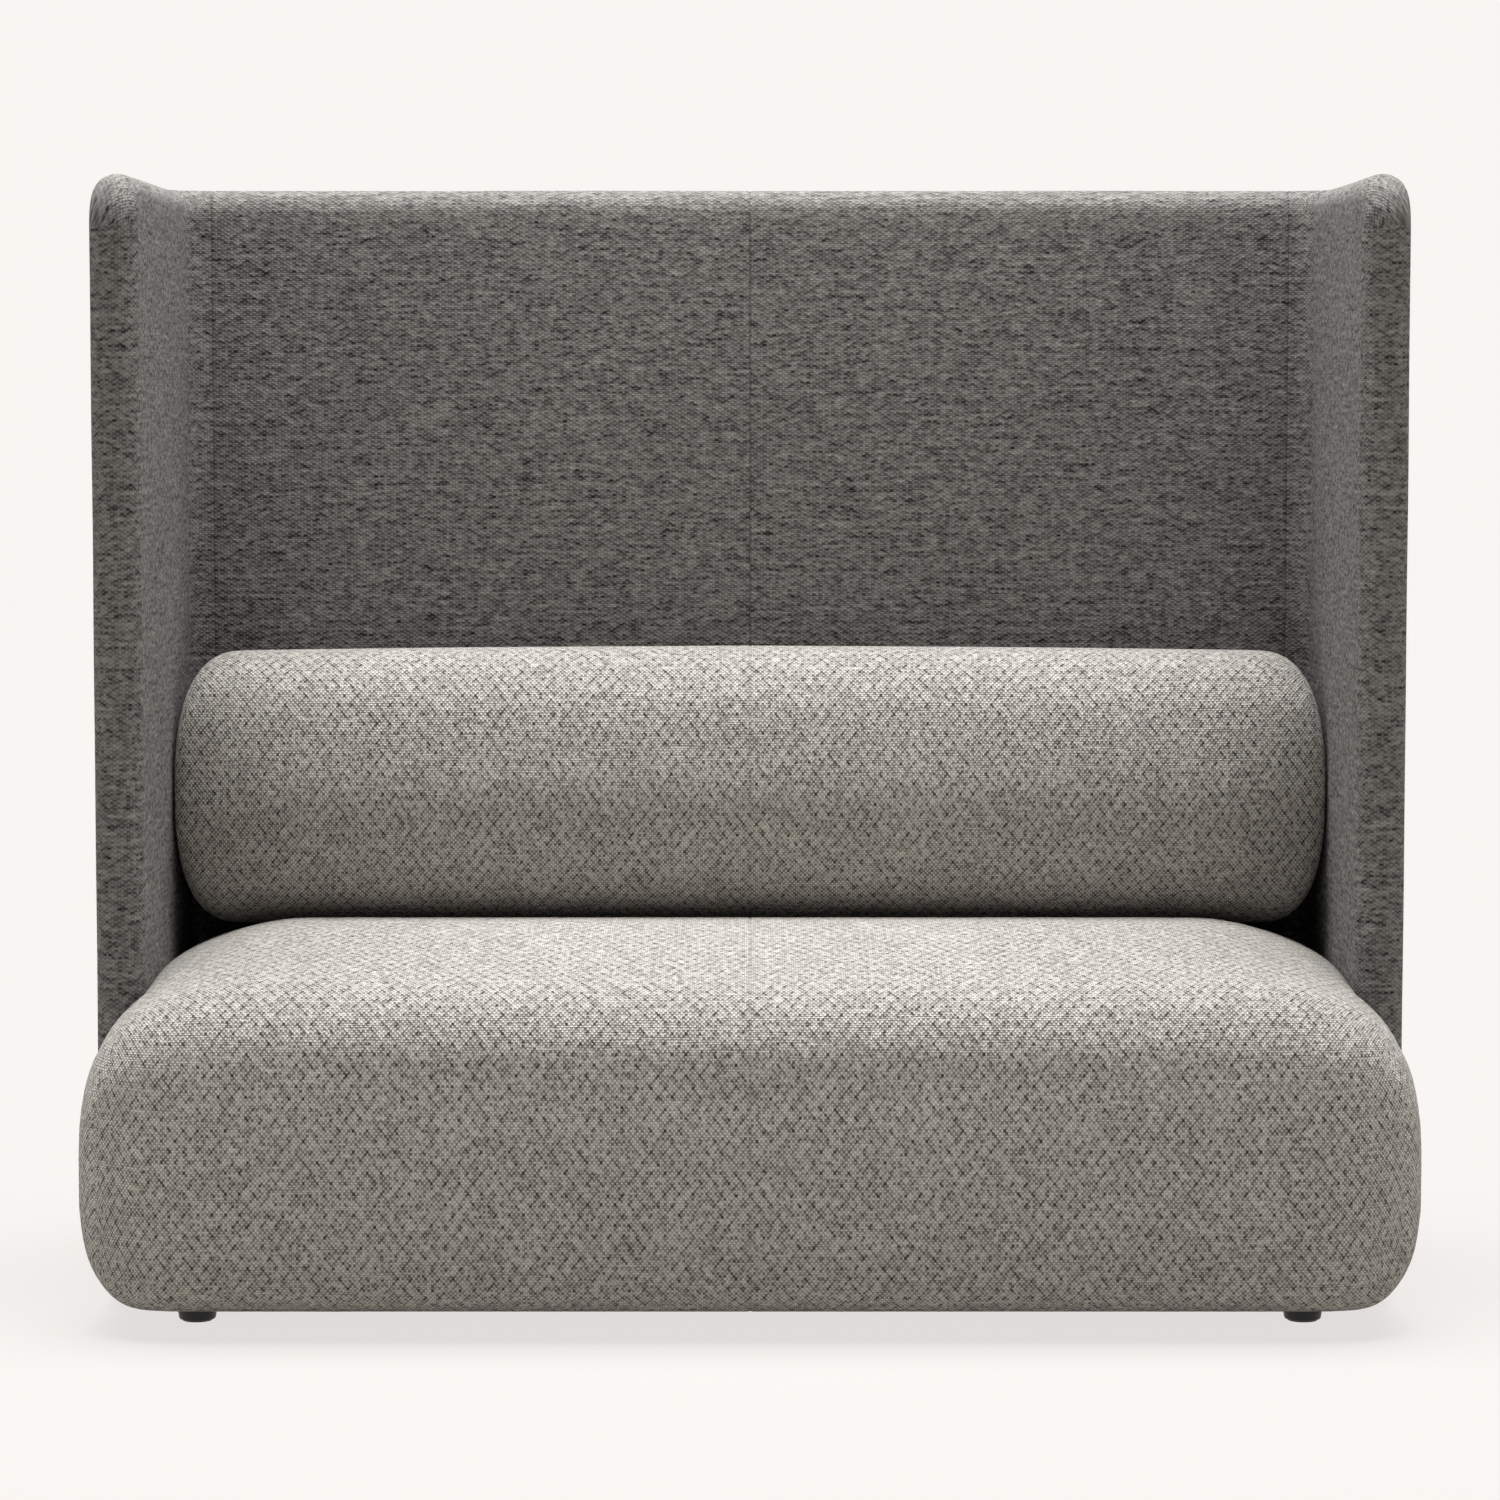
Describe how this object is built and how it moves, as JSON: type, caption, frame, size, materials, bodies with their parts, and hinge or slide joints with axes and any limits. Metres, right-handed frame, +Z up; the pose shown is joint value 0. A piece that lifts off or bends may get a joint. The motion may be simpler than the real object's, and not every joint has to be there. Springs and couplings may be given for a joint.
{
  "type": "two-seater sofa",
  "caption": "High-back sofa for two: a U-shaped padded shell round a thick pillow-like seat block and a loose lumbar bolster, on short black levelling feet.",
  "frame": {"origin": "on the floor, under the middle of the sofa's overall width and depth", "axes": "+X across the sofa to the right as seen from the front, +Y from the front to the back, +Z up"},
  "size_m": [1.6002, 0.8006, 1.3899],
  "materials": {
    "shell_cloth": "matte",
    "seat_cloth": "matte",
    "wadding": "matte",
    "foam": "matte",
    "board": "matte",
    "timber": "matte",
    "webbing": "matte",
    "dust_cloth": "matte",
    "steel": "satin",
    "foot_plastic": "satin",
    "glide_plastic": "satin"
  },
  "bodies": {
    "sofa": {"base_front_rail": "timber", "base_rear_rail": "timber", "base_left_rail": "timber", "base_right_rail": "timber", "base_centre_rail": "timber", "base_corner_blocks": "timber", "base_block_screws": "steel", "foot_tee_nuts": "steel", "seat_webbing_long": "webbing", "seat_webbing_cross": "webbing", "seat_front_foam": "foam", "seat_foam_core": "foam", "seat_foam_topper": "foam", "seat_wadding": "wadding", "seat_cover": "seat_cloth", "dust_cover": "dust_cloth", "back_panel": "board", "left_wing_panel": "board", "right_wing_panel": "board", "left_corner_post": "board", "right_corner_post": "board", "shell_dowels": "timber", "back_foam": "foam", "left_wing_foam": "foam", "right_wing_foam": "foam", "left_corner_foam": "foam", "right_corner_foam": "foam", "shell_cover": "shell_cloth", "shell_bolts": "steel", "shell_bolt_washers": "steel", "shell_spacers": "timber", "shell_tee_nuts": "steel"},
    "bolster": {"bolster_core": "foam", "bolster_wadding": "wadding", "bolster_cover": "seat_cloth"},
    "glide_front_left": {"foot_glide_front_left": "glide_plastic"},
    "foot_front_left": {"foot_front_left": "foot_plastic", "foot_stud_front_left": "steel"},
    "glide_front_right": {"foot_glide_front_right": "glide_plastic"},
    "foot_front_right": {"foot_front_right": "foot_plastic", "foot_stud_front_right": "steel"},
    "glide_rear_left": {"foot_glide_rear_left": "glide_plastic"},
    "foot_rear_left": {"foot_rear_left": "foot_plastic", "foot_stud_rear_left": "steel"},
    "glide_rear_right": {"foot_glide_rear_right": "glide_plastic"},
    "foot_rear_right": {"foot_rear_right": "foot_plastic", "foot_stud_rear_right": "steel"}
  },
  "joints": [
    {"name": "bolster_lift", "type": "slide", "parent": "sofa", "child": "bolster", "axis": [0, 0, 1], "range_m": [0, 0.4]},
    {"name": "foot_front_left_height", "type": "slide", "parent": "sofa", "child": "glide_front_left", "axis": [0, 0, -1], "range_m": [0, 0.0101]},
    {"name": "foot_front_left_turn", "type": "hinge", "parent": "glide_front_left", "child": "foot_front_left", "pos_m": [-0.672, -0.24, 0], "axis": [0, 0, -1], "range_deg": [0, 2880]},
    {"name": "foot_front_right_height", "type": "slide", "parent": "sofa", "child": "glide_front_right", "axis": [0, 0, -1], "range_m": [0, 0.0101]},
    {"name": "foot_front_right_turn", "type": "hinge", "parent": "glide_front_right", "child": "foot_front_right", "pos_m": [0.672, -0.24, 0], "axis": [0, 0, -1], "range_deg": [0, 2880]},
    {"name": "foot_rear_left_height", "type": "slide", "parent": "sofa", "child": "glide_rear_left", "axis": [0, 0, -1], "range_m": [0, 0.0101]},
    {"name": "foot_rear_left_turn", "type": "hinge", "parent": "glide_rear_left", "child": "foot_rear_left", "pos_m": [-0.672, 0.225, 0], "axis": [0, 0, -1], "range_deg": [0, 2880]},
    {"name": "foot_rear_right_height", "type": "slide", "parent": "sofa", "child": "glide_rear_right", "axis": [0, 0, -1], "range_m": [0, 0.0101]},
    {"name": "foot_rear_right_turn", "type": "hinge", "parent": "glide_rear_right", "child": "foot_rear_right", "pos_m": [0.672, 0.225, 0], "axis": [0, 0, -1], "range_deg": [0, 2880]}
  ],
  "couplings": [
    {"joint": "foot_front_left_height", "follows": "foot_front_left_turn", "m_per_rad": 0.00019894},
    {"joint": "foot_front_right_height", "follows": "foot_front_right_turn", "m_per_rad": 0.00019894},
    {"joint": "foot_rear_left_height", "follows": "foot_rear_left_turn", "m_per_rad": 0.00019894},
    {"joint": "foot_rear_right_height", "follows": "foot_rear_right_turn", "m_per_rad": 0.00019894}
  ]
}
